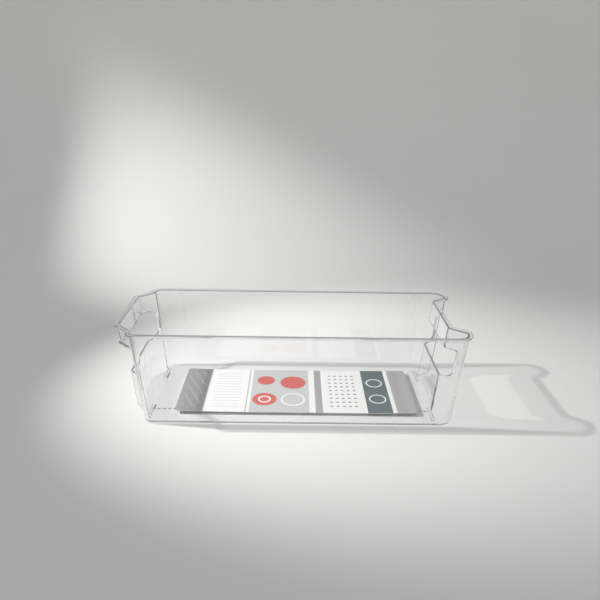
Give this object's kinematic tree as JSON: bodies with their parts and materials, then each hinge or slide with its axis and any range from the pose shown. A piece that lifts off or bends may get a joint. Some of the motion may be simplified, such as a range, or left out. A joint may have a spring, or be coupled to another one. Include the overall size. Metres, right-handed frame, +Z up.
{
  "type": "clear storage bin",
  "caption": "Clear moulded storage bin with a recessed end, a bulging end and hand openings under the grip plates, with a loose printed insert card.",
  "frame": {"origin": "middle of the footprint, in the plane of the four feet", "axes": "+X along the bin towards its recessed end, +Y across it towards the far long wall, +Z up out of the open top"},
  "size_m": [0.3232, 0.1256, 0.09],
  "materials": {
    "clear_plastic": "clear, polished",
    "printed_card": "printed, satin"
  },
  "bodies": {
    "bin": {"bin_body": "clear_plastic"},
    "card": {"insert_card": "printed_card"}
  },
  "joints": [
    {"name": "card_lift", "type": "slide", "parent": "bin", "child": "card", "axis": [0, 0, 1], "range_m": [0, 0.1]}
  ]
}
